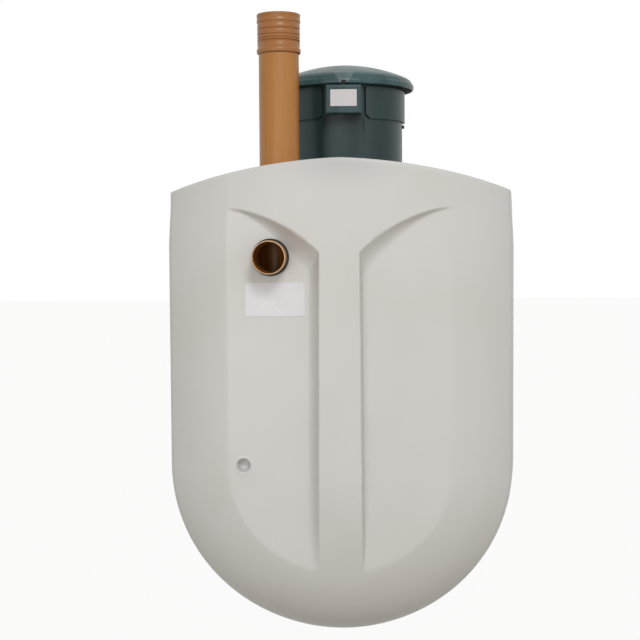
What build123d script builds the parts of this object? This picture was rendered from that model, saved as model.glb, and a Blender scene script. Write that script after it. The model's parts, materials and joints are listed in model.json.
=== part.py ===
# Packaged sewage treatment plant: a moulded plastic tank lying on two feet, with an
# inlet at one end, an outlet at the other, a desludging pipe and a lidded access turret.
# Millimetres. X across the tank, Y along it with the inlet end at -Y, Z up from the floor.
import os
from math import asin, atan2, cos, pi, sin, sqrt, tan

from build123d import *

# Tank shell
half_width = 602.0
wall = 10.0
ground_clearance = 10.0
crest_height = 1640.0
shoulder_height = 1531.0
ridge_offset = 75.0
shoulder_tangent = 12.0
end_reach = 1380.0
crown_radius = 1394.0
corner_radius = 300.0
wall_split_drop = 54.0

# Hoop ribs round the shell
rib_width = 206.0
rib_depth = 45.0
rib_slope = 42.0
roof_rib_depth = 25.0
end_land = 127.0

# Sunken panels beside the column of each end
panel_depth = 50.0
column_top_half = 66.0
column_foot_half = 73.0
column_shade_slope = 28.0
column_light_slope = 10.0
panel_tip_x = 360.0
panel_tip_height = 1478.0
panel_lip_radius = 362.0
panel_floor_radius = 300.0
panel_foot = 100.0
dimple_x = -322.0
dimple_height = 627.0
dimple_radius = 24.0
dimple_depth = 5.0
dimple_rim = 5.0
dimple_rim_height = 2.0

# Feet
foot_half_span = 320.0
foot_skin = 12.0
foot_wall = 15.0

# Drain pipes through the ends
drain_radius = 55.0
drain_wall = 3.2
drain_reach = 100.0
drain_bevel = 4.0
drain_grip = 1.2
spigot_stop = 2.0
inlet_x = -227.0
inlet_drop = 161.0
outlet_drop = 75.0
seal_lip = 6.5
seal_thickness = 20.0
seal_inner_thickness = 8.0
seal_neck = 4.0
dip_offset = 135.0
dip_rise = 110.0
dip_drop = 420.0
dip_overlap = 40.0
dip_ease = 2.0
socket_wall = 4.5
label_width = 196.0
label_tall = 111.0
label_thickness = 1.5
label_x = -213.0
label_drop = 139.0
label_corner = 6.0

# Desludging pipe and its coupling
sludge_x = -256.0
sludge_y = -380.0
sludge_radius = 80.0
sludge_wall = 4.0
sludge_foot = 300.0
sludge_boss_radius = 115.0
sludge_boss_rise = 7.0
coupling_top = 2275.0
coupling_length = 159.0
coupling_wall = 5.4
coupling_ring = 7.2
upper_ring_tall = 35.0
lower_ring_tall = 19.0
first_groove_drop = 62.0
second_groove_drop = 97.0
third_groove_drop = 113.0
coupling_groove = 2.0
coupling_groove_tall = 5.0
coupling_stop = 3.0
extension_gap = 0.5
seal_groove = 3.0
grommet_lip = 15.0
grommet_thickness = 12.0

# Access turret
boss_radius = 320.0
boss_rise = 17.0
neck_radius = 245.0
neck_wall = 8.0
neck_top = 2016.0
neck_top_round = 2.0
flange_radius = 300.0
flange_thickness = 14.0
gasket_thickness = 3.0
flange_bolts = 12
bolt_head_radius = 9.0
bolt_head_tall = 8.0
collar_thickness = 11.0
collar_bottom = 1878.0
collar_top = 2007.0
collar_gap = 181.0
collar_cut = 18.0
bay_inset = 9.0
bay_drop = 58.0
bay_depth = 3.0
screw_radius = 7.0
screw_reach = 9.0
screw_drop = 16.0
screw_count = 2
latch_width = 145.0
latch_bottom = 1891.0
latch_top = 2008.0
latch_front = 308.0
latch_round = 8.0
latch_socket = 9.5
latch_socket_depth = 14.0
badge_width = 107.0
badge_tall = 67.0
badge_bottom = 1921.0
badge_margin = 6.0
badge_sink = 3.0

# Lid and hinge
lid_radius = 294.0
lid_bottom = 2014.0
lid_top = 2120.0
lid_dome_radius = 840.0
lid_wall = 5.0
lid_edge_round = 30.0
lid_lip_bevel = 3.0
lid_seat_height = 2026.0
lid_seat_width = 24.0
tab_top_width = 91.0
tab_foot_width = 62.0
tab_bottom = 2026.0
tab_top = 2068.0
tab_proud = 5.0
catch_width = 16.0
latch_bolt_radius = 4.0
latch_bolt_y = -268.0
latch_bolt_dip = 8.0
hinge_y = 317.0
hinge_height = 2023.0
hinge_pin_radius = 5.0
hinge_running = 0.05
hinge_barrel = 10.0
arm_x = 26.0
arm_width = 14.0
ear_gap = 6.0
ear_width = 12.0
ear_base_bottom = 1968.0
ear_base_top = 2001.0
pin_head_radius = 8.0
pin_head_tall = 4.0

# Clearance between curved faces that seat on each other
seat_gap = 0.3

# Worked out from the sizes above
axis_height = ground_clearance + half_width
panel_plane = end_reach - panel_depth
corner_x = half_width - corner_radius
crown_centre = crown_radius - end_reach
end_start = sqrt((crown_radius - corner_radius) ** 2 - corner_x**2) - crown_centre
crown_turn = atan2(corner_x, end_start + crown_centre)
rib_pitch = (end_start - end_land + rib_width / 2) / 2
inlet_height = panel_tip_height - inlet_drop
outlet_height = inlet_height - outlet_drop
label_height = inlet_height - label_drop
boss_height = crest_height + boss_rise
sludge_boss_height = crest_height + sludge_boss_rise
grip_radius = drain_radius - drain_grip
branch_reach = drain_radius + 2 * socket_wall
roof_rise = crest_height - shoulder_height
roof_centre = (
    crest_height**2
    - shoulder_height**2
    + ridge_offset**2
    - (half_width + ridge_offset) ** 2
) / (2 * roof_rise)
roof_radius = sqrt(ridge_offset**2 + (crest_height - roof_centre) ** 2)
split_height = shoulder_height - wall_split_drop
reach = 2 * end_reach


def node(name, shape):
    """Write one named piece of the plant."""
    export_step(shape, f"parts/{name}.step")
    print(name, round(shape.volume / 1e6, 3))


def solid_box(x0, x1, y0, y1, z0, z1):
    return Pos((x0 + x1) / 2, (y0 + y1) / 2, (z0 + z1) / 2) * Box(
        x1 - x0, y1 - y0, z1 - z0
    )


def post(x, y, radius, z0, z1):
    """Round post standing on z0."""
    return Pos(x, y, z0) * Cylinder(
        radius, z1 - z0, align=(Align.CENTER, Align.CENTER, Align.MIN)
    )


def bar(x, z, radius, y0, y1):
    """Round bar lying along the tank."""
    return (
        Pos(x, y0, z)
        * Rot(-90, 0, 0)
        * Cylinder(radius, y1 - y0, align=(Align.CENTER, Align.CENTER, Align.MIN))
    )


def pin_bar(y, z, radius, x0, x1):
    """Round bar lying across the tank."""
    return (
        Pos(x0, y, z)
        * Rot(0, 90, 0)
        * Cylinder(radius, x1 - x0, align=(Align.CENTER, Align.CENTER, Align.MIN))
    )


def upright_face(points):
    """Face in the XZ plane from x and z pairs."""
    return Face(Wire.make_polygon([Vector(x, 0, z) for x, z in points], close=True))


def turned(points):
    """Ring or pipe turned about Z from radius and height pairs."""
    return revolve(upright_face(points), axis=Axis.Z)


def roof_height(x, drop=0.0):
    """Height of the arched roof above x, with the roof sunk by drop."""
    return roof_centre + sqrt((roof_radius - drop) ** 2 - (abs(x) + ridge_offset) ** 2)


def hull_section(y, inset, drop):
    """Section across the tank with its flanks sunk by inset and its roof by drop."""
    w = half_width - inset
    slope = atan2(w + ridge_offset, roof_height(w, drop) - roof_centre)
    roof_x = w - shoulder_tangent * cos(slope)
    corner_z = roof_height(w, drop)
    low_z = corner_z - shoulder_tangent
    radius = shoulder_tangent / tan((pi / 2 - slope) / 2)
    lean = (pi / 2 - slope) / 2 + slope
    bend = (w - radius + radius * sin(lean), low_z + radius * cos(lean))
    hip = (w, axis_height)
    keel = (0, axis_height - w)
    quarter = (w * cos(pi / 4), axis_height - w * sin(pi / 4))
    crest = (0, roof_height(0, drop))
    roof_mid = (roof_x / 2, roof_height(roof_x / 2, drop))
    roof_end = (roof_x, roof_height(roof_x, drop))
    edges = []
    for side in (1, -1):
        at = [
            Vector(side * p[0], y, p[1])
            for p in (
                crest,
                roof_mid,
                roof_end,
                bend,
                (w, low_z),
                hip,
                quarter,
                keel,
            )
        ]
        half = [
            Edge.make_three_point_arc(at[0], at[1], at[2]),
            Edge.make_three_point_arc(at[2], at[3], at[4]),
            Edge.make_line(at[4], at[5]),
            Edge.make_three_point_arc(at[5], at[6], at[7]),
        ]
        edges += half if side == 1 else half[::-1]
    return Face(Wire(edges))


def hoop_stations():
    """Places along half of the tank where the ribs start and end, with 1 for sunk."""
    stations = [(0.0, 0)]
    for middle in (rib_pitch / 2, 3 * rib_pitch / 2):
        half = (rib_pitch - rib_width) / 2
        stations += [
            (middle - half, 0),
            (middle - half + rib_slope, 1),
            (middle + half - rib_slope, 1),
            (middle + half, 0),
        ]
    return stations + [(end_start, 0)]


def barrel(skin):
    """Ribbed middle of the tank, offset inwards by skin."""
    half = hoop_stations()
    stations = [(-y, sunk) for y, sunk in half[::-1]] + half[1:]
    sections = [
        hull_section(y, skin + sunk * rib_depth, skin + sunk * roof_rib_depth)
        for y, sunk in stations
    ]
    return loft(sections, ruled=True)


def roof_prism(skin, y0, y1):
    """Everything below the arched roof."""
    return extrude(hull_section(y1, skin, skin), amount=y1 - y0, dir=(0, -1, 0))


def end_profile(skin):
    """Half plan of the front end, from the flank round the corner to the crown."""
    w = half_width - skin
    bend = corner_radius - skin
    crown = crown_radius - skin
    centre = Vector(corner_x, -end_start, axis_height)
    middle = Vector(0, crown_centre, axis_height)
    flank = Vector(w, -end_start, axis_height)
    joint = middle + Vector(sin(crown_turn), -cos(crown_turn), 0) * crown
    half_turn = crown_turn / 2
    crown_mid = middle + Vector(sin(half_turn), -cos(half_turn), 0) * crown
    corner_turn = (crown_turn + pi / 2) / 2
    corner_mid = centre + Vector(sin(corner_turn), -cos(corner_turn), 0) * bend
    nose = Vector(0, crown_centre - crown, axis_height)
    root = Vector(0, -end_start, axis_height)
    return [
        Edge.make_line(root, flank),
        Edge.make_three_point_arc(flank, corner_mid, joint),
        Edge.make_three_point_arc(joint, crown_mid, nose),
        Edge.make_line(nose, root),
    ]


def end_block(skin):
    """Front end of the tank as a solid, offset inwards by skin."""
    plan = Face(Wire(end_profile(skin)))
    lower = revolve(
        plan, axis=Axis((0, 0, axis_height), (0, 1, 0)), revolution_arc=180
    )
    half = extrude(plan, amount=crest_height, dir=(0, 0, 1))
    upper = half + mirror(half, about=Plane.YZ)
    roof = roof_prism(skin, -end_reach - corner_radius, -end_start)
    return lower + (upper & roof)


def panel_outline(y, shade, light, tip_x, tip_z, radius, grow, side):
    """Outline of one sunken panel at depth y; grow moves every edge outwards."""
    slope = shade if side < 0 else light
    arc_x = side * tip_x
    arc_z = tip_z - radius
    arc_r = radius + grow
    top_x = side * (column_top_half + slope - grow)
    foot_x = side * (column_foot_half + slope - grow)
    meet_z = arc_z + sqrt(arc_r**2 - (arc_x - top_x) ** 2)
    tip = (arc_x, arc_z + arc_r)
    between = (abs(arc_x - top_x) / arc_r) / 2
    mid = (arc_x - side * arc_r * sin(between), arc_z + arc_r * cos(between))
    outer_x = side * half_width
    at = [
        Vector(p[0], y, p[1])
        for p in (
            (foot_x, panel_foot),
            (top_x, meet_z),
            mid,
            tip,
            (outer_x, arc_z + arc_r),
            (outer_x, panel_foot),
        )
    ]
    return Face(
        Wire(
            [
                Edge.make_line(at[0], at[1]),
                Edge.make_three_point_arc(at[1], at[2], at[3]),
                Edge.make_line(at[3], at[4]),
                Edge.make_line(at[4], at[5]),
                Edge.make_line(at[5], at[0]),
            ]
        )
    )


def panel_pocket(skin, side):
    """What is cut from the front end for one sunken panel."""
    past = 0.4
    lip_radius = panel_lip_radius + past * (panel_lip_radius - panel_floor_radius)
    floor = panel_outline(
        -(panel_plane - skin),
        column_shade_slope,
        column_light_slope,
        panel_tip_x,
        panel_tip_height,
        panel_floor_radius,
        skin,
        side,
    )
    mouth = panel_outline(
        -(end_reach + past * panel_depth),
        -past * column_shade_slope,
        -past * column_light_slope,
        panel_tip_x,
        panel_tip_height,
        lip_radius,
        skin,
        side,
    )
    return loft([floor, mouth], ruled=True)


def front_half(skin):
    """Front end with its two sunken panels."""
    block = end_block(skin)
    for side in (-1, 1):
        block = block - panel_pocket(skin, side)
    return block


def rear(shape):
    """The same shape turned to the other end of the tank."""
    return Rot(0, 0, 180) * shape


def tank_nodes():
    """End walls, side walls, bilges and roof of the shell."""
    front = front_half(0.0) - front_half(wall)
    dimple_at = -panel_plane
    rim = bar(
        dimple_x,
        dimple_height,
        dimple_radius + dimple_rim,
        dimple_at - dimple_rim_height,
        dimple_at + dimple_depth,
    )
    dimple = bar(
        dimple_x,
        dimple_height,
        dimple_radius,
        dimple_at - panel_depth,
        dimple_at + dimple_depth,
    )
    hole = drain_radius + seal_neck
    inlet_bore = bar(inlet_x, inlet_height, hole, -reach, -end_start)
    outlet_bore = bar(inlet_x, outlet_height, hole, -reach, -end_start)
    node("front_end", front + rim - dimple - inlet_bore)
    node("rear_end", rear(front - outlet_bore))

    top = half_width + boss_height
    outer = barrel(0.0)
    inner = barrel(wall)
    for x, y, radius, height in (
        (0.0, 0.0, boss_radius, boss_height),
        (sludge_x, sludge_y, sludge_boss_radius, sludge_boss_height),
    ):
        outer = outer + post(x, y, radius, split_height, height)
        inner = inner + post(x, y, radius - wall, split_height, height - wall)
    shell = outer - inner
    shell = shell - post(0, 0, neck_radius - neck_wall, split_height, top)
    shell = shell - post(
        sludge_x, sludge_y, sludge_radius + seal_neck, split_height, top
    )
    along = (-end_start, end_start)
    node("tank_roof", shell & solid_box(-reach, reach, *along, split_height, top))
    for name, x0, x1 in (("left", -reach, 0.0), ("right", 0.0, reach)):
        side = shell & solid_box(x0, x1, *along, axis_height, split_height)
        node(f"{name}_wall", side)
        bilge = shell & solid_box(x0, x1, *along, -reach, axis_height)
        node(f"{name}_bilge", bilge)


def foot():
    """Moulded saddle under the front rib, hollow from below."""
    y0 = -rib_pitch - rib_width / 2
    y1 = y0 + rib_width
    seat = bar(0, axis_height, half_width + seat_gap, y0, y1)
    skin = bar(0, axis_height, half_width + foot_skin, y0, y1)
    block = solid_box(-foot_half_span, foot_half_span, y0, y1, 0, axis_height)
    block = (block - seat) & solid_box(
        -foot_half_span, foot_half_span, y0, y1, 0, half_width / 2
    )
    for side in (-1, 1):
        x0, x1 = sorted((side * foot_wall / 2, side * (foot_half_span - foot_wall)))
        pocket = solid_box(
            x0, x1, y0 + foot_wall, y1 - foot_wall, 0, half_width / 2
        )
        block = block - (pocket - skin)
    return block


def drain_pipe(x, z):
    """Pipe stub through an end wall: a bevelled spigot, then the part that the seal grips."""
    mouth = -(panel_plane + drain_reach)
    spigot_end = -(panel_plane + seal_thickness + spigot_stop)
    inner_end = -(panel_plane - dip_offset + branch_reach)
    spigot = bar(x, z, drain_radius, mouth, spigot_end)
    rim = spigot.edges().filter_by(GeomType.CIRCLE).sort_by(Axis.Y)[0]
    spigot = chamfer(rim, length=drain_bevel * 2, length2=drain_bevel / 2)
    pipe = spigot + bar(x, z, grip_radius, spigot_end, inner_end)
    return pipe - bar(x, z, drain_radius - drain_wall, mouth, inner_end)


def along_ring(x, z, points):
    """Ring turned about a drain pipe's centre line from radius and y pairs."""
    outline = Wire.make_polygon([Vector(x + r, y, z) for r, y in points], close=True)
    return revolve(Face(outline), axis=Axis((x, 0, z), (0, 1, 0)))


def drain_seal(x, z):
    """Rubber seal gripping the end wall, with a lip on each side."""
    inside = grip_radius + seat_gap
    lip = drain_radius + seal_lip
    neck = drain_radius + seal_neck - seat_gap
    face = -panel_plane
    back = -(panel_plane - wall)
    soft = seal_lip / 4
    points = [
        (inside, face - seal_thickness),
        (lip - soft, face - seal_thickness),
        (lip, face - seal_thickness + soft),
        (lip, face),
        (neck, face),
        (neck, back),
        (lip, back),
        (lip, back + seal_inner_thickness),
        (inside, back + seal_inner_thickness),
    ]
    return along_ring(x, z, points)


def dip_pipe(x, z):
    """Upright tee inside the tank that takes the end of the drain pipe."""
    y = -(panel_plane - dip_offset)
    socket = grip_radius + seat_gap
    inner_end = y - branch_reach
    start = inner_end - dip_overlap
    bore = drain_radius - drain_wall
    branch_bore = bore - dip_ease
    upright = post(x, y, drain_radius, z - dip_drop, z + dip_rise)
    upright = upright - post(x, y, bore, z - dip_drop, z + dip_rise)
    upright = upright - bar(x, z, drain_radius - dip_ease, y - drain_radius, y)
    branch = bar(x, z, drain_radius - dip_ease, inner_end, y)
    branch = branch - post(x, y, bore, z - dip_drop, z + dip_rise)
    branch = branch - bar(x, z, branch_bore, inner_end, y)
    mouth = bar(x, z, socket + socket_wall, start, inner_end + socket_wall)
    mouth = mouth - bar(x, z, socket, start, inner_end)
    mouth = mouth - bar(x, z, branch_bore, inner_end, y)
    return upright + (branch + mouth)


def plate(width, tall, thickness, corner):
    """Label plate with rounded corners, lying in X and Y."""
    return extrude(RectangleRounded(width, tall, corner), amount=thickness)


def sludge_nodes():
    """Desludging pipe, its coupling with two seals, and its roof grommet."""
    place = Pos(sludge_x, sludge_y, 0)
    socket = sludge_radius + seat_gap
    stop_z = coupling_top - coupling_length / 2
    pipe_top = stop_z - coupling_stop
    pipe = post(sludge_x, sludge_y, sludge_radius, sludge_foot, pipe_top)
    bore = post(sludge_x, sludge_y, sludge_radius - sludge_wall, sludge_foot, pipe_top)
    node("sludge_pipe", pipe - bore)

    body = socket + coupling_wall
    ring = socket + coupling_ring
    wide = socket + extension_gap - seat_gap
    bottom = coupling_top - coupling_length
    ease = coupling_ring / 3
    points = [(body, bottom), (ring, bottom + ease)]
    half_groove = coupling_groove_tall / 2
    bands = [
        (coupling_length - lower_ring_tall, ring, body),
        (third_groove_drop, body, body),
        (second_groove_drop, body, body),
        (first_groove_drop, body, body),
        (upper_ring_tall, body, ring),
    ]
    for drop, below, above in bands:
        centre = coupling_top - drop
        points += [
            (below, centre - half_groove),
            (body - coupling_groove, centre),
            (above, centre + half_groove),
        ]
    points += [
        (ring, coupling_top - ease),
        (body + coupling_groove / 2, coupling_top),
        (wide, coupling_top),
    ]
    half_stop = coupling_stop / 2
    groove = coupling_stop
    seat = wide + seal_groove
    upper_seal = (coupling_top - upper_ring_tall + groove, coupling_top - groove * 3)
    lower_seal = (bottom + groove, bottom + lower_ring_tall - groove)
    points += [
        (wide, upper_seal[1]),
        (seat, upper_seal[1]),
        (seat, upper_seal[0]),
        (wide, upper_seal[0]),
        (wide, stop_z + half_stop),
        (socket - coupling_stop, stop_z + half_stop),
        (socket - coupling_stop, stop_z - half_stop),
        (socket, stop_z - half_stop),
        (socket, lower_seal[1]),
        (seat, lower_seal[1]),
        (seat, lower_seal[0]),
        (socket, lower_seal[0]),
        (socket, bottom),
    ]
    node("sludge_coupling", place * turned(points))
    for name, ends, inner in (("upper", upper_seal, wide), ("lower", lower_seal, socket)):
        seal = [
            (inner, ends[0]),
            (seat - seat_gap, ends[0]),
            (seat - seat_gap, ends[1]),
            (inner, ends[1]),
        ]
        node(f"coupling_{name}_seal", place * turned(seal))

    neck = sludge_radius + seal_neck - seat_gap
    lip = sludge_radius + grommet_lip
    top = sludge_boss_height
    under = top - wall
    grommet = [
        (socket, under - seal_inner_thickness),
        (lip, under - seal_inner_thickness),
        (lip, under),
        (neck, under),
        (neck, top),
        (lip, top),
        (lip, top + grommet_thickness / 2),
        (socket + grommet_lip / 3, top + grommet_thickness),
        (socket, top + grommet_thickness),
    ]
    node("sludge_grommet", place * turned(grommet))


def turret_nodes():
    """Neck with its flange, gasket and bolts, then the collar and the latch box."""
    inside = neck_radius - neck_wall
    flange_bottom = boss_height + gasket_thickness
    flange_top = flange_bottom + flange_thickness
    neck = post(0, 0, neck_radius, flange_bottom, neck_top)
    neck = neck + post(0, 0, flange_radius, flange_bottom, flange_top)
    neck = neck - post(0, 0, inside, flange_bottom, neck_top)
    rim = neck.edges().filter_by(GeomType.CIRCLE).sort_by(Axis.Z)[-1]
    neck = fillet(rim, neck_top_round)
    half_bay = collar_gap / 2 - bay_inset
    bay = solid_box(
        -half_bay, half_bay, -reach, 0, collar_bottom - bay_drop, collar_bottom
    )
    bay = bay - post(
        0, 0, neck_radius - bay_depth, collar_bottom - bay_drop, collar_bottom
    )
    neck = neck - bay
    node("turret_neck", neck)
    gasket = post(0, 0, flange_radius, boss_height, flange_bottom)
    node("neck_gasket", gasket - post(0, 0, inside, boss_height, flange_bottom))

    circle = (flange_radius + neck_radius) / 2
    bolts = Compound(
        children=[
            Pos(circle * cos(turn), circle * sin(turn), flange_top)
            * extrude(RegularPolygon(bolt_head_radius, 6), amount=bolt_head_tall)
            for turn in [2 * pi * (i + 0.5) / flange_bolts for i in range(flange_bolts)]
        ]
    )
    node("neck_bolts", bolts)

    band = neck_radius + seat_gap
    collar = post(0, 0, band + collar_thickness, collar_bottom, collar_top)
    collar = collar - post(0, 0, band, collar_bottom, collar_top)
    gap = collar_gap / 2
    opening = upright_face(
        [
            (-gap, collar_top),
            (-gap, collar_bottom + collar_cut),
            (-gap - collar_cut, collar_bottom),
            (gap + collar_cut, collar_bottom),
            (gap, collar_bottom + collar_cut),
            (gap, collar_top),
        ]
    )
    collar = collar - extrude(opening, amount=reach, dir=(0, -1, 0))
    node("turret_collar", collar)
    screw_z = collar_bottom - screw_drop
    screws = Compound(
        children=[
            Rot(0, 0, 360 * i / screw_count)
            * Pos(neck_radius, 0, screw_z)
            * Rot(0, 90, 0)
            * Cylinder(
                screw_radius,
                screw_reach,
                align=(Align.CENTER, Align.CENTER, Align.MIN),
            )
            - post(0, 0, band, screw_z - screw_radius, screw_z + screw_radius)
            for i in range(screw_count)
        ]
    )
    node("collar_screws", screws)

    half = latch_width / 2
    box = solid_box(-half, half, -latch_front, 0, latch_bottom, latch_top)
    front = box.faces().sort_by(Axis.Y)[0]
    box = fillet(front.edges(), latch_round)
    box = box - post(0, 0, band, latch_bottom, latch_top)
    box = box & solid_box(-half, half, -latch_front, -latch_front / 2, 0, latch_top)
    socket = post(
        0, latch_bolt_y, latch_socket, latch_top - latch_socket_depth, latch_top
    )
    field_half = badge_width / 2 + badge_margin
    field = solid_box(
        -field_half,
        field_half,
        -latch_front,
        -latch_front + badge_sink,
        badge_bottom - badge_margin,
        badge_bottom + badge_tall + badge_margin,
    )
    node("latch_box", box - socket - field)
    badge = plate(badge_width, badge_tall, label_thickness, label_corner / 2)
    badge_z = badge_bottom + badge_tall / 2
    badge_at = Pos(0, -latch_front + badge_sink, badge_z) * Rot(90, 0, 0)
    node("turret_label", badge_at * badge)


def lid_height(r, drop=0.0):
    """Height of the domed lid at radius r."""
    return lid_top - lid_dome_radius + sqrt((lid_dome_radius - drop) ** 2 - r**2)


def point(r, z):
    """Point of a profile that is turned about Z."""
    return Vector(r, 0, z)


def arc_over(r0, r1, drop=0.0):
    """Stretch of the lid's dome from radius r0 to r1."""
    mid = (r0 + r1) / 2
    return Edge.make_three_point_arc(
        point(r0, lid_height(r0, drop)),
        point(mid, lid_height(mid, drop)),
        point(r1, lid_height(r1, drop)),
    )


def chain(*pairs):
    """Straight edges through radius and height pairs."""
    points = [point(*pair) for pair in pairs]
    return [Edge.make_line(a, b) for a, b in zip(points, points[1:])]


def lid_nodes():
    """Domed lid with its seal, its latch tab and bolt, and its hinge."""
    inner_r = lid_radius - lid_wall
    seat_r0 = neck_radius - neck_wall / 2 - lid_seat_width / 2
    seat_r1 = seat_r0 + lid_seat_width
    round_r = lid_radius - lid_edge_round
    lean = asin(round_r / (lid_dome_radius - lid_edge_round))
    edge_z = lid_top - lid_dome_radius * (1 - cos(lean)) - lid_edge_round * cos(lean)
    middle = (lean + pi / 2) / 2
    outside = [
        arc_over(0, lid_dome_radius * sin(lean)),
        Edge.make_three_point_arc(
            point(
                round_r + lid_edge_round * sin(lean),
                edge_z + lid_edge_round * cos(lean),
            ),
            point(
                round_r + lid_edge_round * sin(middle),
                edge_z + lid_edge_round * cos(middle),
            ),
            point(lid_radius, edge_z),
        ),
    ]
    under_r = round_r
    web_r = seat_r1 - lid_wall
    web_z = lid_seat_height + lid_wall
    profile = outside + chain(
        (lid_radius, edge_z),
        (lid_radius, lid_bottom + lid_lip_bevel),
        (lid_radius - lid_lip_bevel, lid_bottom),
        (inner_r, lid_bottom),
        (inner_r, edge_z),
        (under_r, lid_height(under_r, lid_wall)),
    )
    profile.append(arc_over(under_r, seat_r1, lid_wall))
    profile += chain(
        (seat_r1, lid_height(seat_r1, lid_wall)),
        (seat_r1, lid_seat_height),
        (seat_r0, lid_seat_height),
        (seat_r0, web_z),
        (web_r, web_z),
        (web_r, lid_height(web_r, lid_wall)),
    )
    profile.append(arc_over(web_r, 0, lid_wall))
    profile += chain((0, lid_height(0, lid_wall)), (0, lid_top))
    lid = revolve(Face(Wire(profile)), axis=Axis.Z)
    closing = chain(
        (lid_radius, edge_z), (lid_radius, lid_bottom), (0, lid_bottom), (0, lid_top)
    )
    filled = revolve(Face(Wire(outside + closing)), axis=Axis.Z)
    node("lid", lid)
    gasket = post(0, 0, seat_r1, neck_top + seat_gap, lid_seat_height)
    gasket = gasket - post(0, 0, seat_r0, neck_top + seat_gap, lid_seat_height)
    node("lid_gasket", gasket)

    low = tab_foot_width / 2
    high = tab_top_width / 2
    corners = [(-low, tab_bottom), (low, tab_bottom), (high, tab_top), (-high, tab_top)]
    outline = upright_face(corners)
    tab = extrude(outline, amount=reach, dir=(0, -1, 0))
    ring = post(0, 0, lid_radius + tab_proud, tab_bottom, tab_top)
    tab = (tab & ring) - filled
    node("latch_tab", tab)
    catch_half = catch_width / 2
    catch = solid_box(
        -catch_half, catch_half, -reach, 0, latch_top + seat_gap, tab_bottom
    )
    hook = post(0, 0, lid_radius + tab_proud, latch_top + seat_gap, tab_bottom)
    hook = hook - post(0, 0, lid_radius, latch_top + seat_gap, tab_bottom)
    node("latch_catch", hook & catch)
    bolt = post(
        0,
        latch_bolt_y,
        latch_bolt_radius,
        latch_top - latch_bolt_dip,
        lid_height(-latch_bolt_y, lid_wall),
    )
    node("latch_bolt", bolt - lid)

    bore = pin_bar(
        hinge_y, hinge_height, hinge_pin_radius + hinge_running, -lid_radius, lid_radius
    )
    arms = None
    ears = None
    barrel_r = hinge_barrel
    for side in (-1, 1):
        a0, a1 = sorted((side * arm_x, side * (arm_x + arm_width)))
        eye = pin_bar(hinge_y, hinge_height, barrel_r, a0, a1)
        web = solid_box(
            a0, a1, inner_r, hinge_y, hinge_height, hinge_height + 2 * barrel_r
        )
        web = web & (
            eye
            + solid_box(a0, a1, inner_r, hinge_y, hinge_height, hinge_height + barrel_r)
            + solid_box(
                a0,
                a1,
                inner_r,
                lid_radius + barrel_r / 2,
                hinge_height,
                hinge_height + 2 * barrel_r,
            )
        )
        arm = eye + web - post(0, 0, lid_radius + seat_gap / 2, lid_bottom, lid_top)
        arm = arm - bore
        arms = arm if arms is None else arms + arm
        e0 = arm_x + arm_width + ear_gap
        e0, e1 = sorted((side * e0, side * (e0 + ear_width)))
        top_eye = pin_bar(hinge_y, hinge_height, barrel_r, e0, e1)
        leg = solid_box(
            e0,
            e1,
            hinge_y - barrel_r,
            hinge_y + barrel_r,
            ear_base_bottom,
            hinge_height,
        )
        ear = top_eye + leg - bore
        ears = ear if ears is None else ears + ear
    ear_end = arm_x + arm_width + ear_gap + ear_width
    base = solid_box(
        -ear_end, ear_end, 0, hinge_y + barrel_r, ear_base_bottom, ear_base_top
    )
    collar_face = neck_radius + collar_thickness + 2 * seat_gap
    base = base - post(0, 0, collar_face, ear_base_bottom, ear_base_top)
    base = base & solid_box(-ear_end, ear_end, neck_radius / 2, reach, 0, ear_base_top)
    node("hinge_arms", arms)
    node("hinge_bracket", base + ears)
    pin = pin_bar(
        hinge_y, hinge_height, hinge_pin_radius, -ear_end - seat_gap, ear_end + seat_gap
    )
    for x0, x1 in (
        (-ear_end - seat_gap - pin_head_tall, -ear_end - seat_gap),
        (ear_end + seat_gap, ear_end + seat_gap + pin_head_tall),
    ):
        pin = pin + pin_bar(hinge_y, hinge_height, pin_head_radius, x0, x1)
    node("hinge_pin", pin)


os.makedirs("parts", exist_ok=True)
tank_nodes()
saddle = foot()
node("front_foot", saddle)
node("rear_foot", rear(saddle))
for end, height in (("inlet", inlet_height), ("outlet", outlet_height)):
    pieces = {
        f"{end}_pipe": drain_pipe(inlet_x, height),
        f"{end}_seal": drain_seal(inlet_x, height),
        f"{end}_dip_pipe": dip_pipe(inlet_x, height),
    }
    for name, piece in pieces.items():
        node(name, piece if end == "inlet" else rear(piece))
label = plate(label_width, label_tall, label_thickness, label_corner)
node("inlet_label", Pos(label_x, -panel_plane, label_height) * Rot(90, 0, 0) * label)
sludge_nodes()
turret_nodes()
lid_nodes()
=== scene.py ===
import json
import math
import bpy
from mathutils import Matrix, Vector


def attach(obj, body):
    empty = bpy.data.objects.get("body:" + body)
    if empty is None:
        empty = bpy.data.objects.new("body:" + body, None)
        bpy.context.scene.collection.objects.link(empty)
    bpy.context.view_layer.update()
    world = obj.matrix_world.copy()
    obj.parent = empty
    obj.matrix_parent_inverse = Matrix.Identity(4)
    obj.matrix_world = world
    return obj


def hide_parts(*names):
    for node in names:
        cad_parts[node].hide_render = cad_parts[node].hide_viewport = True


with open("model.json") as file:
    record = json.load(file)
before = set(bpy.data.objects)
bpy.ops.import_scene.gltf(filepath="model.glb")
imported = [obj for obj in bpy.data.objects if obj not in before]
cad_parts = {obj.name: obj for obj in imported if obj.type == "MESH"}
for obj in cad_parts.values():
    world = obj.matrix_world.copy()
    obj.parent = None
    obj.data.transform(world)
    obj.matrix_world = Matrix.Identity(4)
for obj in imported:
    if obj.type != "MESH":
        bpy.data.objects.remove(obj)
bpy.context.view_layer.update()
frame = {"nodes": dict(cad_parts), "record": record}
nodes = frame["nodes"]


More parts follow.
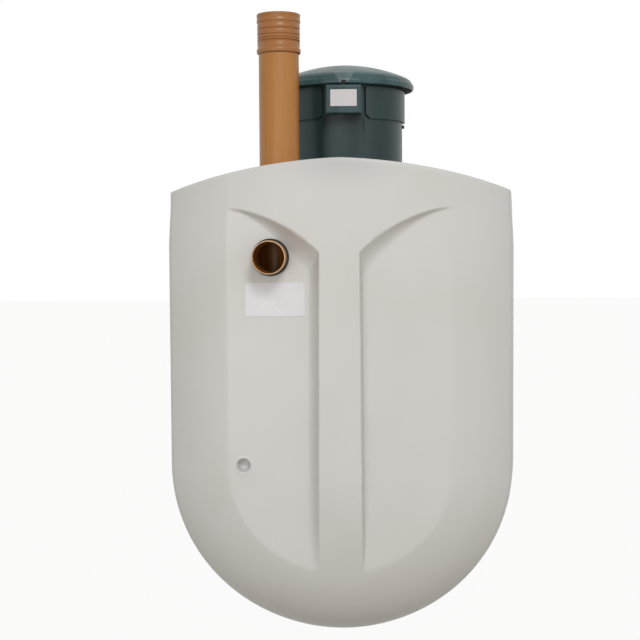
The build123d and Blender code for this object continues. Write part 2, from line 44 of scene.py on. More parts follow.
# one output of a node graph, so that sums on it can be written as Python
class Signal:
    def __init__(self, graph, socket):
        self.graph = graph
        self.socket = socket

    def calc(self, operation, *values, clamp=False):
        settings = {"operation": operation, "use_clamp": clamp}
        return self.graph.add("ShaderNodeMath", settings, *values)

    def __add__(self, other):
        return self.calc("ADD", self, other)

    def __radd__(self, other):
        return self.calc("ADD", other, self)

    def __sub__(self, other):
        return self.calc("SUBTRACT", self, other)

    def __rsub__(self, other):
        return self.calc("SUBTRACT", other, self)

    def __mul__(self, other):
        return self.calc("MULTIPLY", self, other)

    def __truediv__(self, other):
        return self.calc("DIVIDE", self, other)

    def __pow__(self, other):
        return self.calc("POWER", self, other)

    def magnitude(self):
        return self.calc("ABSOLUTE", self)

    def clamp(self):
        return self.calc("ADD", self, 0.0, clamp=True)


class Graph:
    def __init__(self, tree):
        self.tree = tree
        tree.nodes.clear()

    # any node: settings first, then its inputs by order, by name or by number
    def add(self, kind, settings, *values, out=0, inputs=None, **named):
        node = self.tree.nodes.new(kind)
        for key, value in settings.items():
            setattr(node, key, value)
        given = list(enumerate(values)) + list((inputs or {}).items())
        given += [(key.replace("_", " "), value) for key, value in named.items()]
        for key, value in given:
            if isinstance(value, Signal):
                self.tree.links.new(value.socket, node.inputs[key])
            else:
                node.inputs[key].default_value = value
        return Signal(self, node.outputs[out]) if node.outputs else None

    def sameForEye(self, share):  # what the camera, gloss and glass see of the backdrop
        kinds = ("Is Camera Ray", "Is Glossy Ray", "Is Transmission Ray")
        seen = [self.add("ShaderNodeLightPath", {}, out=kind) for kind in kinds]
        return ((seen[0] + seen[1] + seen[2]) * share).clamp()


class Shader(Graph):
    def __init__(self, name, **fixed):
        self.material = bpy.data.materials.new(name)
        self.material.use_nodes = True
        super().__init__(self.material.node_tree)
        self.surface = self.add("ShaderNodeBsdfPrincipled", {}, **fixed)
        self.show(self.surface)

    def show(self, signal):
        nodes = self.tree.nodes
        output = nodes.get("shown") or nodes.new("ShaderNodeOutputMaterial")
        output.name = "shown"
        self.tree.links.new(signal.socket, output.inputs["Surface"])

    def feed(self, **links):
        for key, value in links.items():
            socket = self.surface.socket.node.inputs[key.replace("_", " ")]
            self.tree.links.new(value.socket, socket)

    def place(self):
        return self.add("ShaderNodeTexCoord", {}, out="Object")

    def axis(self, which):
        return self.add("ShaderNodeSeparateXYZ", {}, self.place(), out=which)

    # noise on the object's own coordinates; size is the blotch size in metres
    def mottle(self, size, detail=3.0, squash=(1, 1, 1)):
        scale = tuple(k / size for k in squash)
        spot = self.add("ShaderNodeMapping", {}, self.place(), Scale=scale)
        return self.add("ShaderNodeTexNoise", {}, spot, Scale=1.0, Detail=detail, Roughness=0.5)

    def blend(self, factor, first, second):  # sockets 6, 7 and output 2 are the colour ones
        wide = [c if isinstance(c, Signal) else (*c, 1.0) for c in (first, second)]
        inputs = {0: factor, 6: wide[0], 7: wide[1]}
        return self.add("ShaderNodeMix", {"data_type": "RGBA"}, out=2, inputs=inputs)

    def ramp(self, signal, low, high):  # 0 at low, 1 at high, smooth between
        settings = {"clamp": True, "interpolation_type": "SMOOTHSTEP"}
        return self.add("ShaderNodeMapRange", settings, signal, low, high, 0.0, 1.0)

    def relief(self, height, strength, distance):
        self.feed(Normal=self.add("ShaderNodeBump", {}, strength, distance, Height=height))


def linear(*rgb):  # 0 to 255 as seen on screen, to linear light
    def one(c):
        c = c / 255
        return c / 12.92 if c <= 0.04045 else ((c + 0.055) / 1.055) ** 2.4

    return tuple(one(c) for c in rgb)


def dimmed(colour, share):
    return tuple(c * share for c in colour)


# Tank plastic: satin, faintly clouded, with the fine grain of a rotary mould
tankLook = {
    "base": linear(203, 203, 201),
    "warm": linear(200, 199, 196),
    "roughness": 0.42,
    "roughChange": 0.12,
    "blotch": 0.35,
    "blotchFrom": 0.35,
    "blotchTo": 0.7,
    "grain": 0.004,
    "bump": 0.1,
    "bumpDepth": 0.0006,
    "blotchBump": 0.2,
    # painted shade: a soft dark patch on the inlet end, under the roof's crest
    "crest": 1.640,
    "shadeWide": 0.30,
    "shadeTall": 0.14,
    "shadeFront": -1.34,
    "shadeBack": -1.28,
    "shade": 0.84,
}


def tankMaterial():
    look = tankLook
    s = Shader("tankPlastic", Roughness=look["roughness"], IOR=1.5)
    cloud = s.mottle(look["blotch"], 4.0)
    # painted shade: the base colour is darkened in a soft patch under the crest, on the inlet
    # end only
    across = s.axis("X") / look["shadeWide"]
    down = (look["crest"] - s.axis("Z")) / look["shadeTall"]
    away = (across * across + down * down) ** 0.5
    front = 1 - s.ramp(s.axis("Y"), look["shadeFront"], look["shadeBack"])
    paintedShade = (1 - s.ramp(away, 0.0, 1.0)) * front
    mask = s.ramp(cloud, look["blotchFrom"], look["blotchTo"])
    clouded = s.blend(mask, look["base"], look["warm"])
    s.feed(Base_Color=s.blend(paintedShade, clouded, dimmed(look["base"], look["shade"])))
    fine = s.mottle(look["grain"], 2.0)
    s.feed(Roughness=look["roughness"] + (fine - 0.5) * look["roughChange"])
    s.relief(fine + cloud * look["blotchBump"], look["bump"], look["bumpDepth"])
    return s.material


# Orange-brown drain pipe, with faint drawn streaks along it; the coupling has its own colour,
# and the cut rims of the stubs are paler
pipeLook = {
    "base": linear(174, 116, 50),
    "dark": linear(168, 110, 45),
    "coupling": linear(158, 102, 48),
    "couplingFrom": 2.116,
    "rim": linear(230, 188, 142),
    "rimFrom": 1.4235,
    "edge": 0.003,
    "roughness": 0.38,
    "roughChange": 0.2,
    "streak": 0.012,
    "streakSquash": 0.04,
    "cloud": 0.15,
    "maskFrom": 0.35,
    "maskTo": 0.65,
    "bump": 0.06,
    "bumpDepth": 0.0004,
}


def pipeMaterial():
    look = pipeLook
    s = Shader("drainPipe", Roughness=look["roughness"], IOR=1.5)
    streak = s.mottle(look["streak"], squash=(1, 1, look["streakSquash"]))
    cloud = s.mottle(look["cloud"])
    mask = s.ramp(streak * 0.5 + cloud * 0.5, look["maskFrom"], look["maskTo"])
    high = s.ramp(s.axis("Z"), look["couplingFrom"], look["couplingFrom"] + look["edge"])
    rim = s.ramp(s.axis("Y").magnitude(), look["rimFrom"], look["rimFrom"] + look["edge"])
    drawn = s.blend(mask, look["base"], look["dark"])
    drawn = s.blend(high, drawn, look["coupling"])
    s.feed(Base_Color=s.blend(rim, drawn, look["rim"]))
    s.feed(Roughness=look["roughness"] + (cloud - 0.5) * look["roughChange"])
    s.relief(streak, look["bump"], look["bumpDepth"])
    return s.material


# Turret plastic: dark, with soft upright bands, and a painted shadow on the front under the
# latch box
turretLook = {
    "band": 0.06,
    "bandSquash": 0.12,
    "bandFrom": 0.38,
    "bandTo": 0.68,
    "pale": 1.45,
    "roughness": 0.34,
    "roughChange": 0.25,
    "specular": 0.35,
    "shadowTop": 1.888,
    "shadowEdge": 0.004,
    "shadowFoot": 1.800,
    "shadowInner": 0.068,
    "shadowOuter": 0.1105,
    "shadowFront": -0.22,
    "shadowBack": -0.18,
    "shadowShare": 0.85,
    "shadowShade": 0.25,
    "grain": 0.012,
    "bump": 0.12,
    "bumpDepth": 0.0005,
}


def turretMaterial(name, colour):
    look = turretLook
    specular = {"Specular IOR Level": look["specular"]}
    s = Shader(name, Roughness=look["roughness"], **specular)
    band = s.mottle(look["band"], squash=(1, 1, look["bandSquash"]))
    mask = s.ramp(band, look["bandFrom"], look["bandTo"])
    streaked = s.blend(mask, colour, dimmed(colour, look["pale"]))
    height = s.axis("Z")
    # painted shadow: the front of the neck under the latch box is darkened
    under = 1 - s.ramp(height, look["shadowTop"], look["shadowTop"] + look["shadowEdge"])
    under = under * s.ramp(height, look["shadowFoot"], look["shadowTop"])
    aside = s.ramp(s.axis("X").magnitude(), look["shadowInner"], look["shadowOuter"])
    front = 1 - s.ramp(s.axis("Y"), look["shadowFront"], look["shadowBack"])
    share = under * (1 - aside) * front * look["shadowShare"]
    s.feed(Base_Color=s.blend(share, streaked, dimmed(colour, look["shadowShade"])))
    s.feed(Roughness=look["roughness"] + (band - 0.5) * look["roughChange"])
    s.relief(s.mottle(look["grain"]), look["bump"], look["bumpDepth"])
    return s.material


# Other plastics, plates, rubber and metal: two close colours and a fine grain
grainLook = {"from": 0.3, "to": 0.7, "roughChange": 0.15, "bump": 0.15, "bumpDepth": 0.0005}


def grainedMaterial(name, colour, roughness, size=0.02, change=0.12, **fixed):
    look = grainLook
    s = Shader(name, Roughness=roughness, **fixed)
    cloud = s.mottle(size)
    mask = s.ramp(cloud, look["from"], look["to"])
    s.feed(Base_Color=s.blend(mask, colour, dimmed(colour, 1 - change)))
    s.feed(Roughness=roughness + (cloud - 0.5) * look["roughChange"])
    s.relief(cloud, look["bump"], look["bumpDepth"])
    return s.material


plate = {"roughness": 0.3, "size": 0.05, "change": 0.03}
finishes = {
    "tank_shell": tankMaterial(),
    "drain_pipe": pipeMaterial(),
    "black_rubber": grainedMaterial("blackRubber", linear(30, 29, 28), 0.6),
    "turret_plastic": turretMaterial("turretPlastic", linear(27, 48, 49)),
    "latch_plastic": turretMaterial("latchPlastic", linear(44, 64, 67)),
    "lid_plastic": turretMaterial("lidPlastic", linear(46, 72, 74)),
    "tab_plastic": turretMaterial("tabPlastic", linear(80, 98, 99)),
    "black_plastic": grainedMaterial("blackPlastic", linear(14, 15, 15), 0.6, IOR=1.3),
    "white_plate": grainedMaterial("whitePlate", linear(213, 212, 216), **plate),
    "grey_plate": grainedMaterial("greyPlate", linear(206, 204, 206), **plate),
    "steel": grainedMaterial("zincSteel", linear(170, 172, 174), 0.32, 0.01, 0.1, Metallic=1.0),
    "bracket_plastic": turretMaterial("bracketPlastic", linear(30, 50, 50)),
}
slotOf = {p["node"]: p["material_slot"] for p in frame["record"]["subparts"]}
for name, obj in nodes.items():
    obj.data.materials.clear()
    obj.data.materials.append(finishes[slotOf[name]])
print("materials made")


# A smooth piece from points and faces, standing for CAD nodes
def makePiece(name, points, faces, slot, standsFor, body="tank"):
    mesh = bpy.data.meshes.new(name)
    mesh.from_pydata(points, [], faces)
    mesh.validate()
    mesh.polygons.foreach_set("use_smooth", [True] * len(mesh.polygons))
    mesh.materials.append(finishes[slot])
    piece = bpy.data.objects.new(name, mesh)
    bpy.context.scene.collection.objects.link(piece)
    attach(piece, body)
    if standsFor:
        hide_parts(*standsFor)
    return piece


def spread(start, end, step):  # even places from start to just before end
    count = max(1, round((end - start) / step))
    return [start + (end - start) * i / count for i in range(count)]


def soft(t):  # 0 to 1, straight in the middle and eased at both ends
    t = min(max(t, 0.0), 1.0)
    return t * t * (3 - 2 * t)


# Shell sizes in metres: the CAD model's first, then those of the skins' own flanks.
# Turns are in degrees; lowCrease is how much nearer the middle the crease is at the keel
shell = {
    "halfWidth": 0.602,
    "axisHeight": 0.612,
    "crest": 1.640,
    "shoulder": 1.531,
    "ridgeOffset": 0.075,
    "endReach": 1.380,
    "crownRadius": 1.394,
    "cornerRadius": 0.300,
    "edgeRound": 0.008,
    "hoops": 0.5064,
    "hoopWidth": 0.206,
    "grooveSlope": 0.042,
    "grooveDepth": 0.045,
    "roofGroove": 0.025,
    "shoulderEase": 0.012,
    "leanFrom": 1.340,
    "leanTo": 1.520,
    "lean": 0.013,
    "creaseAt": 0.370,
    "creaseTurn": 19,
    "flankEnd": 0.566,
    "flankTurn": 40,
    "flankRound": 0.045,
    "flankDraft": 83,
    "lowCrease": 0.063,
    "lowFrom": 0.35,
    "lowOver": 0.22,
}
cornerX = shell["halfWidth"] - shell["cornerRadius"]
crownCentre = shell["crownRadius"] - shell["endReach"]
bendReach = shell["crownRadius"] - shell["cornerRadius"]
endStart = math.sqrt(bendReach**2 - cornerX**2) - crownCentre
crownEdge = cornerX * shell["crownRadius"] / bendReach
roofCentre = (
    shell["crest"] ** 2
    - shell["shoulder"] ** 2
    + shell["ridgeOffset"] ** 2
    - (shell["halfWidth"] + shell["ridgeOffset"]) ** 2
) / (2 * (shell["crest"] - shell["shoulder"]))
roofRadius = math.hypot(shell["ridgeOffset"], shell["crest"] - roofCentre)


def leaning(x, z):  # the flanks close in a little below the roof
    rise = (z - shell["leanFrom"]) / (shell["leanTo"] - shell["leanFrom"])
    return x * (1 - shell["lean"] * soft(rise))


def roofArc(x, drop=0.0):
    across = abs(x) + shell["ridgeOffset"]
    return roofCentre + math.sqrt((roofRadius - drop) ** 2 - across**2)


# mesh steps along half of a section, from the crest to the keel
sectionSteps = {"roof": 28, "shoulder": 6, "flank": 14, "bilge": 48}


# half of a section of the hull from the crest to the keel, as x and z
def halfSection(inset=0.0, drop=0.0):
    w = shell["halfWidth"] - inset
    ease = shell["shoulderEase"]
    slope = math.atan2(w + shell["ridgeOffset"], roofArc(w, drop) - roofCentre)
    roofEnd = w - ease * math.cos(slope)
    low = roofArc(w, drop) - ease
    radius = ease / math.tan((math.pi / 2 - slope) / 2)
    axis = shell["axisHeight"]
    roof, shoulder, flankSteps, bilge = sectionSteps.values()
    line = [(roofEnd * i / roof, roofArc(roofEnd * i / roof, drop)) for i in range(roof)]
    for i in range(shoulder):
        turn = slope + (math.pi / 2 - slope) * i / shoulder
        line.append((w - radius + radius * math.sin(turn), low + radius * math.cos(turn)))
    line += [(w, low + (axis - low) * i / flankSteps) for i in range(flankSteps)]
    for i in range(bilge + 1):
        turn = math.pi / 2 * i / bilge
        line.append((w * math.cos(turn), axis - w * math.sin(turn)))
    return line


def roofEdge(x):  # height of the end wall's top above x
    w = shell["halfWidth"]
    ease = shell["shoulderEase"]
    slope = math.atan2(w + shell["ridgeOffset"], roofArc(w) - roofCentre)
    if abs(x) <= w - ease * math.cos(slope):
        return roofArc(x)
    radius = ease / math.tan((math.pi / 2 - slope) / 2)
    past = min(abs(x) - w + radius, radius)
    return roofArc(w) - ease + math.sqrt(radius**2 - past**2)


# Sunken panels of an end wall: the column's left slope is wider, so it lies in shade
panel = {
    "plane": 1.330,
    "columnTop": 0.066,
    "columnFoot": 0.073,
    "columnTopAt": 1.334,
    "columnFootAt": 0.100,
    "shadeSlope": 0.041,
    "lightSlope": 0.012,
    "shadeBand": 0.130,
    "lightBand": 0.095,
    "bandFade": 1.2,
    "leastBand": 0.010,
    "hollow": 2.0,
    "tipX": 0.360,
    "tipZ": 1.478,
    "lipRadius": 0.525,
    "lipOut": 0.073,
    "softness": 0.002,
}


def archHeight(off):  # the lip, an arc that falls from a panel's tip to the column
    radius, out = panel["lipRadius"], panel["lipOut"]
    start = math.sqrt(radius**2 - out**2)
    return panel["tipZ"] - start + math.sqrt(max(radius**2 - (off + out) ** 2, 0))


def panelShare(x, z):  # 1 on a panel's floor, 0 on the column and above the lip
    way = (z - panel["columnFootAt"]) / (panel["columnTopAt"] - panel["columnFootAt"])
    half = panel["columnFoot"] + (panel["columnTop"] - panel["columnFoot"]) * way
    slope, band = panel["lightSlope"], panel["lightBand"]
    if x < 0:
        slope, band = panel["shadeSlope"], panel["shadeBand"]
    off = max(panel["tipX"] - abs(x), 0)
    band *= (off / (panel["tipX"] - panel["columnTop"])) ** panel["bandFade"]
    low = (archHeight(off) - z) / max(band, panel["leastBand"])
    into = min(max(min((abs(x) - half) / slope, low), 0), 1)
    return 1 - (1 - into) ** panel["hollow"]


# the plan of a flank: turning slowly from the crease to a close corner, then back
def flankPlan(steps=24, cornerSteps=8, ease=1.3):
    start, end = shell["creaseAt"], shell["flankEnd"]
    x, y = start, -panel["plane"]
    line = [(x, y)]
    for i in range(steps):
        share = ((i + 0.5) / steps) ** ease
        turn = shell["creaseTurn"] + (shell["flankTurn"] - shell["creaseTurn"]) * share
        x += (end - start) / steps
        y += (end - start) / steps * math.tan(math.radians(turn))
        line.append((x, y))
    first, last = math.radians(shell["flankTurn"]), math.radians(shell["flankDraft"])
    for i in range(1, cornerSteps + 1):
        turn = first + (last - first) * i / cornerSteps
        wide = shell["flankRound"] * (math.sin(turn) - math.sin(first))
        deep = shell["flankRound"] * (math.cos(first) - math.cos(turn))
        line.append((x + wide, y + deep))
    return line + [(shell["halfWidth"], -endStart)]


flank = flankPlan()


def flankDepth(r):  # y of the flank's plan at r
    for near, far in zip(flank, flank[1:]):
        if r <= far[0]:
            return near[1] + (far[1] - near[1]) * (r - near[0]) / (far[0] - near[0])
    return -endStart


def crownDepth(r, low=0.0):  # y of the end wall at r from its middle; low is 1 at the keel
    past = soft((r - shell["lowFrom"]) / shell["lowOver"])
    r *= 1 + shell["lowCrease"] * low * (1 - past)
    if r <= crownEdge:
        crown = crownCentre - math.sqrt(shell["crownRadius"] ** 2 - r**2)
    else:
        side = min(r - cornerX, shell["cornerRadius"])
        crown = -endStart - math.sqrt(shell["cornerRadius"] ** 2 - side**2)
    if r <= shell["creaseAt"]:
        return crown
    return crown * low + flankDepth(r) * (1 - low)


def wallDepth(r, x, z):  # y of the end wall with its panels
    below = max(shell["axisHeight"] - z, 0)
    y = crownDepth(r, (below / r) ** 2 if below > 0 else 0.0)
    past = -panel["plane"] - y
    sunk = (past + math.sqrt(past**2 + panel["softness"] ** 2)) / 2
    return y + sunk * panelShare(x, z)


# an end wall's mesh: each place and the step from there to the next, finer where the
# wall bends, then steps above the panels, round the top's edge and back along the roof
endMesh = {
    "radii": (
        (0, 0.008), (0.06, 0.0025), (0.108, 0.008), (0.16, 0.004), (0.355, 0.0025),
        (shell["creaseAt"], 0.007), (0.56, 0.002), (0.586, 0.0013), (shell["halfWidth"], 0),
    ),
    "turns": ((0, 1.5), (60, 0.5), (120, 1.5), (176, 0.5), (180, 0)),
    "levels": ((shell["axisHeight"], 0.004), (0.66, 0.01), (1.17, 0.004), (1.49, 0)),
    "above": 14,
    "edge": 5,
    "back": 6,
}


def spreadAll(places):
    values = []
    for (start, step), (end, _) in zip(places, places[1:]):
        values += spread(start, end, step)
    return values + [places[-1][0]]


# one end wall: a fan of points below its axis and upright lines above it, without the
# faces that touch a hole, each given as x, z and radius
def endSkin(name, standsFor, holes, turnedRound):
    radii, turns, levels = (spreadAll(endMesh[key]) for key in ("radii", "turns", "levels"))
    points = []
    faces = []
    index = {}

    def put(x, y, z):
        key = (round(x, 6), round(y, 6), round(z, 6))
        if key not in index:
            index[key] = len(points)
            x = leaning(x, z)
            points.append((-x, -y, z) if turnedRound else (x, y, z))
        return index[key]

    def patch(rows):  # faces between neighbouring rows of points
        for a, b in zip(rows, rows[1:]):
            for i in range(len(a) - 1):
                corners = []
                for corner in (a[i], a[i + 1], b[i + 1], b[i]):
                    if corner not in corners:
                        corners.append(corner)
                kept = len(corners) > 2
                for x, z, radius in holes:
                    side = -x if turnedRound else x
                    met = [points[c] for c in corners]
                    near = min(math.hypot(point[0] - side, point[2] - z) for point in met)
                    kept = kept and near > radius
                if kept:
                    faces.append(corners)

    fan = []
    for turn in turns:
        c, s = math.cos(math.radians(turn)), math.sin(math.radians(turn))
        row = []
        for r in radii:
            x, z = r * c, shell["axisHeight"] - r * s
            row.append(put(x, wallDepth(r, x, z), z))
        fan.append(row)
    patch(fan)
    across = [-r for r in radii[:0:-1]] + radii
    above, edge, back = endMesh["above"], endMesh["edge"], endMesh["back"]
    last = levels[-1]
    upright = []
    for x in across:
        top = roofEdge(x)
        flat = crownDepth(abs(x))
        rounding = min(shell["edgeRound"], 0.8 * (-endStart - flat))
        rise = top - rounding - last
        heights = levels + [last + rise * i / above for i in range(1, above + 1)]
        line = [put(x, wallDepth(abs(x), x, z), z) for z in heights]
        for i in range(1, edge + 1):
            bend = math.pi / 2 * i / edge
            y = flat + rounding * (1 - math.cos(bend))
            line.append(put(x, y, top - rounding * (1 - math.sin(bend))))
        for i in range(1, back + 1):
            y = flat + rounding + (-endStart - flat - rounding) * i / back
            line.append(put(x, y, top))
        upright.append(line)
    patch(upright)
    makePiece(name, points, faces, "tank_shell", standsFor)


# Hooped middle of the tank; its roof is open inside the turret's boss
barrel = {"slopeSteps": 10, "floorSteps": 6, "openRadius": 0.28, "openAbove": 1.4}


def barrelStations():  # places along Y, each with how far the grooves are sunk there
    steps, floor = barrel["slopeSteps"], barrel["floorSteps"]
    half = (shell["hoops"] - shell["hoopWidth"]) / 2
    slope = shell["grooveSlope"]
    stations = [(0.0, 0.0)]
    for middle in (shell["hoops"] / 2, shell["hoops"] * 1.5):
        for i in range(steps + 1):
            stations.append((middle - half + slope * i / steps, soft(i / steps)))
        for i in range(1, floor):
            stations.append((middle - half + slope + (2 * half - 2 * slope) * i / floor, 1.0))
        for i in range(steps + 1):
            stations.append((middle + half - slope * (steps - i) / steps, soft(1 - i / steps)))
    stations.append((endStart, 0.0))
    return [(-y, sunk) for y, sunk in stations[:0:-1]] + stations


def barrelSkin():
    points = []
    rows = []
    for y, sunk in barrelStations():
        half = halfSection(sunk * shell["grooveDepth"], sunk * shell["roofGroove"])
        ring = [(x, z) for x, z in half] + [(-x, z) for x, z in half[-2:0:-1]]
        rows.append([len(points) + i for i in range(len(ring))])
        points += [(leaning(x, z), y, z) for x, z in ring]
    faces = []
    for a, b in zip(rows, rows[1:]):
        for i in range(len(a)):
            j = (i + 1) % len(a)
            corners = (a[i], a[j], b[j], b[i])
            x = sum(points[c][0] for c in corners) / 4
            y = sum(points[c][1] for c in corners) / 4
            high = points[a[i]][2] > barrel["openAbove"]
            if not (high and math.hypot(x, y) < barrel["openRadius"]):
                faces.append(corners)
    replaced = ("tank_roof", "left_wall", "right_wall", "left_bilge", "right_bilge")
    makePiece("barrelSkin", points, faces, "tank_shell", replaced)


# a surface turned about an upright axis from radius and height pairs
def turnedSkin(profile, centre=(0, 0), steps=128):
    points = []
    faces = []
    count = len(profile)
    for i in range(steps):
        c, s = math.cos(2 * math.pi * i / steps), math.sin(2 * math.pi * i / steps)
        points += [(centre[0] + r * c, centre[1] + r * s, z) for r, z in profile]
    for i in range(steps):
        a, b = i * count, ((i + 1) % steps) * count
        for j in range(count - 1):
            faces.append((a + j, b + j, b + j + 1, a + j + 1))
    return points, faces


# Raised bosses of the turret and the desludging pipe; both run down into the roof
boss = {
    "turret": {"radius": 0.320, "hole": 0.237, "height": 1.657, "at": (0, 0)},
    "pipe": {"radius": 0.115, "hole": 0.0835, "height": 1.647, "at": (-0.256, -0.380)},
    "round": 0.006,
    "roundSteps": 5,
    "foot": 1.56,
}


def bossSkin(name, which):
    radius, hole, height, centre = boss[which].values()
    e, steps = boss["round"], boss["roundSteps"]
    line = [(hole, height - 0.010), (hole, height - 0.002), (hole + 0.002, height)]
    line += [(radius - e - 0.01, height)]
    for i in range(steps + 1):
        turn = math.pi / 2 * i / steps
        line.append((radius - e + e * math.sin(turn), height - e + e * math.cos(turn)))
    line += [(radius, height - 0.03), (radius, boss["foot"])]
    points, faces = turnedSkin(line, centre)
    makePiece(name, points, faces, "tank_shell", None)


# Moulded dimple low on the inlet end, turned about Y: radius and depth from the bottom
# of the bowl to the wall, and the hole that is left for it
dimple = {
    "x": -0.322,
    "z": 0.627,
    "cut": 0.026,
    "line": (
        (0.0001, 0.034), (0.0110, 0.0335), (0.0155, 0.031), (0.0190, 0.022), (0.0215, 0.006),
        (0.0230, 0.0008), (0.0250, -0.0006), (0.0280, -0.0008), (0.0315, -0.0003),
        (0.0350, 0.0004), (0.0380, 0.0012),
    ),
}


def dimpleSkin():
    turned, faces = turnedSkin(dimple["line"], steps=48)
    points = [(dimple["x"] + x, y - panel["plane"], dimple["z"] + z) for x, z, y in turned]
    makePiece("dimpleSkin", points, faces, "tank_shell", None)


# holes for the stubs and the dimple, as x, z and radius
stubHole = {"x": -0.227, "inlet": 1.317, "outlet": 1.242, "radius": 0.052}
inletHole = (stubHole["x"], stubHole["inlet"], stubHole["radius"])
outletHole = (stubHole["x"], stubHole["outlet"], stubHole["radius"])
dimpleHole = (dimple["x"], dimple["z"], dimple["cut"])
endSkin("frontEndSkin", ("front_end",), [inletHole, dimpleHole], False)
endSkin("rearEndSkin", ("rear_end",), [outletHole], True)
dimpleSkin()
barrelSkin()
bossSkin("turretBoss", "turret")
bossSkin("pipeBoss", "pipe")
print("tank skins made")


# Coupling on the desludging pipe, with rounded ribs. Each list of pairs gives steps out
# from a radius and up from a height: the upper ring, the neck under it, one groove and
# the lower ring
coupling = {
    "at": (-0.256, -0.380),
    "top": 2.275,
    "bottom": 2.1185,
    "bore": 0.0805,
    "body": 0.0845,
    "ring": 0.0872,
    "grooves": (0.062, 0.085, 0.098, 0.110),
    "stop": 2.1975,
    "stopThick": 0.003,
    "stopBore": 0.0765,
    "upperRing": (
        (-0.0025, 0), (-0.0006, -0.0015), (0, -0.005), (0, -0.007), (-0.0014, -0.009),
        (-0.001, -0.026), (0, -0.029), (-0.0008, -0.034),
    ),
    "neck": ((-0.002, -0.036), (0, -0.038)),
    "groove": (
        (0.0005, 0.006), (0, 0.0025), (-0.003, 0.0012),
        (-0.003, -0.0012), (0, -0.0025), (0.0005, -0.006),
    ),
    "foot": ((-0.0015, 0.022),),
    "lowerRing": (
        (-0.001, 0.0205), (0.0004, 0.017), (0.0004, 0.006), (-0.0008, 0.003),
    ),
}


def offset(radius, height, pairs):
    return [(radius + out, height + up) for out, up in pairs]


def couplingSkin():
    c = coupling
    top, low, ring, body, bore = c["top"], c["bottom"], c["ring"], c["body"], c["bore"]
    line = [(bore, top)] + offset(ring, top, c["upperRing"]) + offset(body, top, c["neck"])
    for drop in c["grooves"]:
        line += offset(body, top - drop, c["groove"])
    line += offset(body, low, c["foot"]) + offset(ring, low, c["lowerRing"])
    line += [(body, low + 0.002), (bore + 0.001, low), (bore, low)]
    under = c["stop"] - c["stopThick"]
    line += [(bore, under), (c["stopBore"], under), (c["stopBore"], c["stop"])]
    line += [(bore, c["stop"]), (bore, top)]
    points, faces = turnedSkin(line, c["at"], 96)
    makePiece("couplingSkin", points, faces, "drain_pipe", ("sludge_coupling",))


# Lid with a low dome and a rolled rim, and the tab moulded over its front edge. The
# shoulder and the hollow are given as radius and height, the rim as steps from its foot
lid = {
    "top": 2.120,
    "domeRadius": 0.620,
    "domeEdge": 0.262,
    "domeSteps": 20,
    "wall": 0.005,
    "rim": 0.294,
    "bottom": 2.014,
    "shoulder": (
        (0.272, 2.0595), (0.280, 2.0535), (0.2855, 2.0465), (0.2880, 2.0400), (0.2895, 2.0375),
    ),
    "rimTop": ((-0.0015, 0.0215), (0, 0.0170), (0, 0.0080)),
    "rimFoot": ((-0.001, 0.003), (-0.003, 0), (-0.007, 0), (-0.008, 0.003), (-0.009, 0.022)),
    "hollow": ((0.276, 2.050), (0.262, 2.0585)),
    "outerPoints": 30,
    "tabTop": 0.252,
    "tabHalfTop": 0.045,
    "tabHalfFoot": 0.019,
    "tabProud": 0.0022,
    "tabSunk": 0.002,
}


def dome(share, drop=0.0):  # radius and height of the dome's surface, 1 at its edge
    r = lid["domeEdge"] * share
    return r + 0.0001, lid["top"] - drop - r * r / (2 * lid["domeRadius"])


def lidProfile():
    steps = lid["domeSteps"]
    line = [dome(i / steps) for i in range(steps + 1)] + list(lid["shoulder"])
    line += offset(lid["rim"], lid["bottom"], lid["rimTop"] + lid["rimFoot"])
    line += lid["hollow"]
    return line + [dome(i / steps, lid["wall"]) for i in range(steps - 1, -1, -1)]


def lidSkin():
    profile = lidProfile()
    points, faces = turnedSkin(profile, steps=160)
    makePiece("lidSkin", points, faces, "lid_plastic", ("lid",), "lid")
    tabSkin([p for p in profile[: lid["outerPoints"]] if p[0] >= lid["tabTop"]])


# the tab follows the lid's outer line, a little proud of it, with its edges sunk in
def tabSkin(outer):
    outer = [outer[0]] + outer
    rows = []
    points = []
    faces = []
    for i, (r, z) in enumerate(outer):
        share = max(i - 1, 0) / (len(outer) - 2)
        half = lid["tabHalfTop"] + (lid["tabHalfFoot"] - lid["tabHalfTop"]) * share
        row = []
        for j in range(-9, 10):
            raised = -lid["tabSunk"] if i == 0 or abs(j) == 9 else lid["tabProud"]
            x = half * min(max(j / 8, -1), 1) * (1.02 if abs(j) == 9 else 1)
            reach = math.sqrt((r + raised) ** 2 - x * x)
            row.append(len(points))
            points.append((x, -reach, z + raised * 0.6))
        rows.append(row)
    for a, b in zip(rows, rows[1:]):
        faces += [(a[j], a[j + 1], b[j + 1], b[j]) for j in range(len(a) - 1)]
    makePiece("tabSkin", points, faces, "tab_plastic", ("latch_tab",), "lid")


# Latch bolt, ending under the dome, as radius and height
bolt = {
    "at": (0, -0.268),
    "line": (
        (0.0001, 2.000), (0.0028, 2.000), (0.0040, 2.003), (0.0040, 2.046),
        (0.0060, 2.048), (0.0060, 2.052), (0.0001, 2.053),
    ),
}


def boltSkin():
    points, faces = turnedSkin(bolt["line"], bolt["at"], 32)
    makePiece("boltSkin", points, faces, "steel", ("latch_bolt",), "lid")


couplingSkin()
lidSkin()
boltSkin()
print("coupling and lid skins made")


# Camera at the photograph's viewing angle; turns are in degrees
view = {
    "eye": (0.0817, -5.6, 1.340),
    "yaw": 1.973,
    "pitch": 3.08,
    "roll": 0.36,
    "lens": 73.125,
    "sensor": 36.0,
}


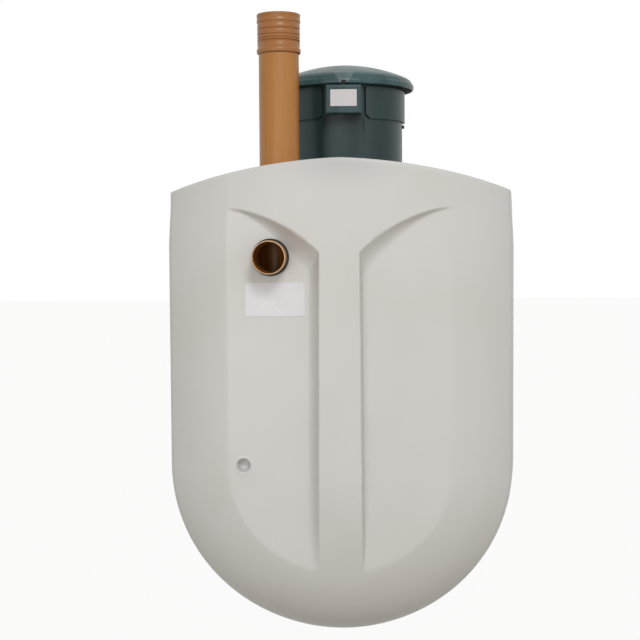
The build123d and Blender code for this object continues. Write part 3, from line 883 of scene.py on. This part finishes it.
def addCamera():
    data = bpy.data.cameras.new("camera")
    data.lens = view["lens"]
    data.sensor_width = view["sensor"]
    camera = bpy.data.objects.new("camera", data)
    bpy.context.scene.collection.objects.link(camera)
    turn = (
        Matrix.Rotation(math.radians(view["yaw"]), 4, "Z")
        @ Matrix.Rotation(math.radians(90 - view["pitch"]), 4, "X")
        @ Matrix.Rotation(math.radians(-view["roll"]), 4, "Z")
    )
    camera.matrix_world = Matrix.Translation(view["eye"]) @ turn
    bpy.context.scene.camera = camera


# Floor, world and lamps. The floor's colour lights the tank from below; the camera sees
# it glow nearly white, with the object's shadow in what is left
studio = {
    "floorSize": 60.0,
    "floorColour": linear(168, 158, 143),
    "floorRoughness": 0.9,
    "floorBlotch": 0.5,
    "floorChange": 0.98,
    "floorGlow": 0.95,
    "world": 0.52,
    "worldTint": (1.0, 0.99, 0.97),
}
# place, target, width and height, watts
lamps = {
    "keyLamp": ((1.6, -8.6, 6.4), (0, -1.2, 0.8), (2.4, 2.4), 310),
    "sideLamp": ((5.0, -5.5, 2.0), (0, -1.0, 0.8), (4.0, 4.0), 33),
    "frontLamp": ((-2.0, -7.0, 1.0), (0, -1.2, 0.8), (3.0, 1.6), 72),
}
white = (1, 1, 1, 1)


def addFloor():
    bpy.ops.mesh.primitive_plane_add(size=studio["floorSize"])
    floor = bpy.context.object
    floor.name = "floor"
    s = Shader("paleFloor", Roughness=studio["floorRoughness"])
    mask = s.ramp(s.mottle(studio["floorBlotch"]), grainLook["from"], grainLook["to"])
    pale = studio["floorColour"]
    s.feed(Base_Color=s.blend(mask, pale, dimmed(pale, studio["floorChange"])))
    glow = s.add("ShaderNodeEmission", {}, white, 1.0)
    s.show(s.add("ShaderNodeMixShader", {}, s.sameForEye(studio["floorGlow"]), s.surface, glow))
    floor.data.materials.append(s.material)


def addWorld():
    world = bpy.data.worlds.new("studio")
    bpy.context.scene.world = world
    world.use_nodes = True
    g = Graph(world.node_tree)
    light = g.add("ShaderNodeBackground", {}, (*studio["worldTint"], 1), studio["world"])
    seen = g.add("ShaderNodeBackground", {}, white, 1.0)
    mixed = g.add("ShaderNodeMixShader", {}, g.sameForEye(1.0), light, seen)
    g.add("ShaderNodeOutputWorld", {}, mixed)


def addLamp(name, place, target, size, power):
    data = bpy.data.lights.new(name, "AREA")
    data.shape = "RECTANGLE"
    data.size, data.size_y = size
    data.energy = power
    lamp = bpy.data.objects.new(name, data)
    bpy.context.scene.collection.objects.link(lamp)
    lamp.location = place
    aim = Vector(target) - Vector(place)
    lamp.rotation_euler = aim.to_track_quat("-Z", "Y").to_euler()


addCamera()
addFloor()
addWorld()
for name, settings in lamps.items():
    addLamp(name, *settings)
bpy.context.scene.view_settings.view_transform = "Standard"
print("camera and light placed")
